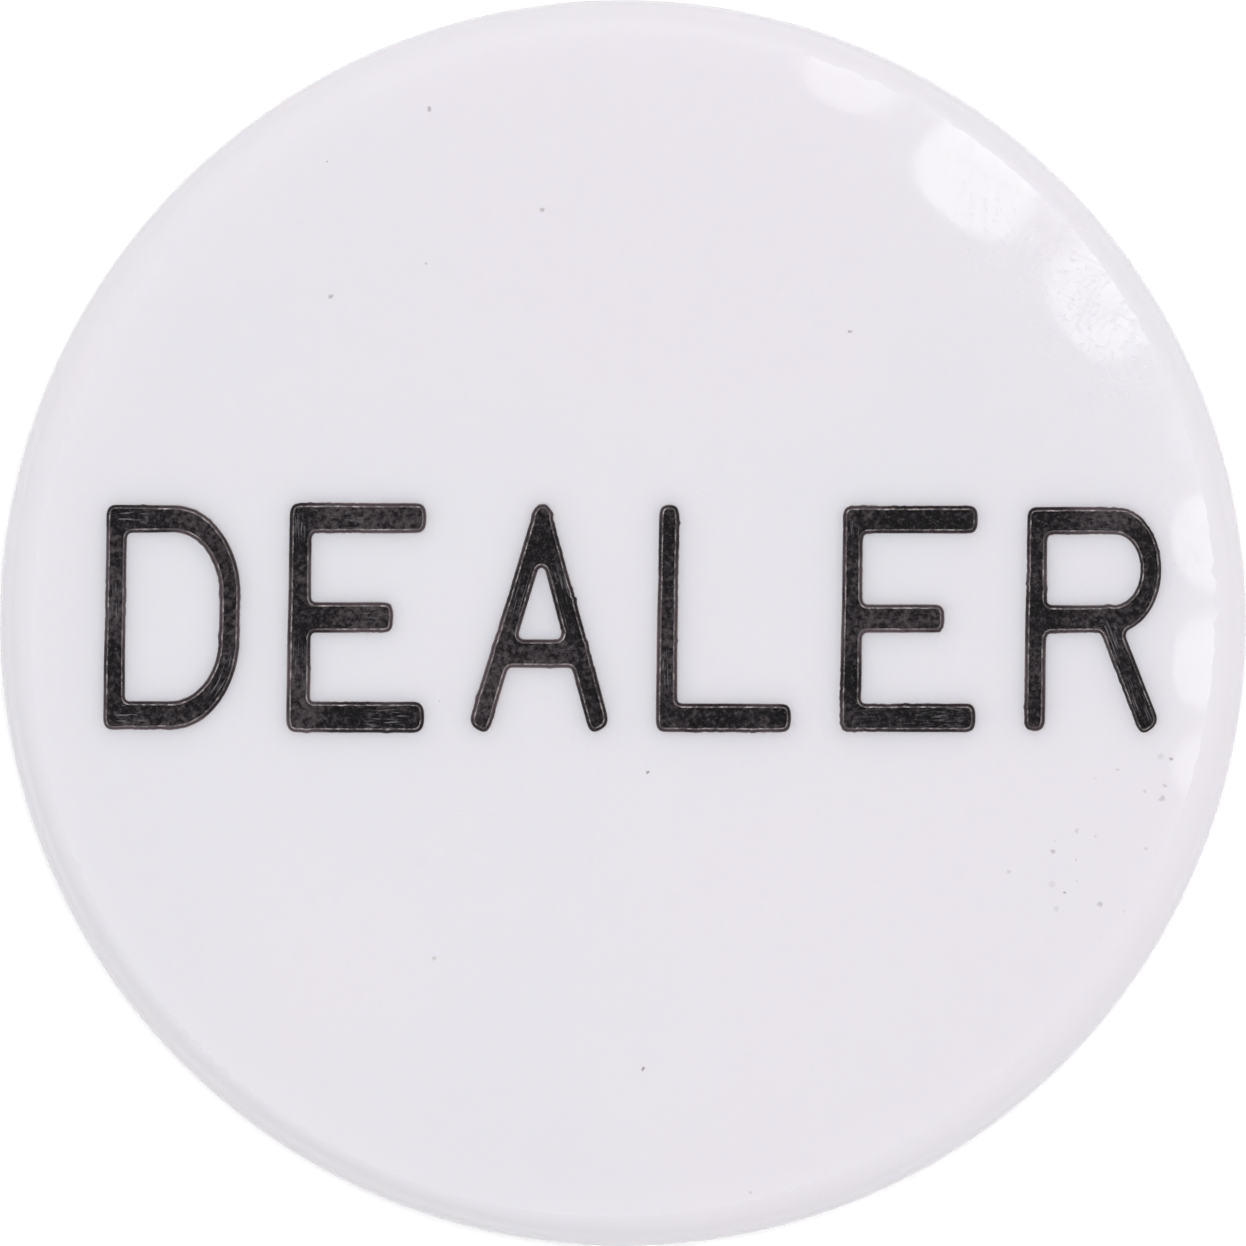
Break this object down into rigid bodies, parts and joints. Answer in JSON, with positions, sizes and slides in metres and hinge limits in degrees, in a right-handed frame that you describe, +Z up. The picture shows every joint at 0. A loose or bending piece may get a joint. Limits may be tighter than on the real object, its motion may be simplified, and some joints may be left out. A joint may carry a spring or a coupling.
{
  "type": "dealer button",
  "caption": "White acrylic table marker disc with a one-word legend engraved and black-filled on both faces.",
  "frame": {"origin": "centre of the underside, on the surface the button lies on", "axes": "+Z up through the thickness, +X along the front legend's reading direction, +Y towards the top of its letters"},
  "size_m": [0.0508, 0.0508, 0.008],
  "materials": {
    "white_acrylic": "polished white acrylic, slightly translucent",
    "black_paint": "satin black engraving paint"
  },
  "bodies": {
    "root": {"button_body": "white_acrylic", "front_fill_d": "black_paint", "front_fill_e1": "black_paint", "front_fill_a": "black_paint", "front_fill_l": "black_paint", "front_fill_e2": "black_paint", "front_fill_r": "black_paint", "back_fill_d": "black_paint", "back_fill_e1": "black_paint", "back_fill_a": "black_paint", "back_fill_l": "black_paint", "back_fill_e2": "black_paint", "back_fill_r": "black_paint"}
  },
  "joints": []
}
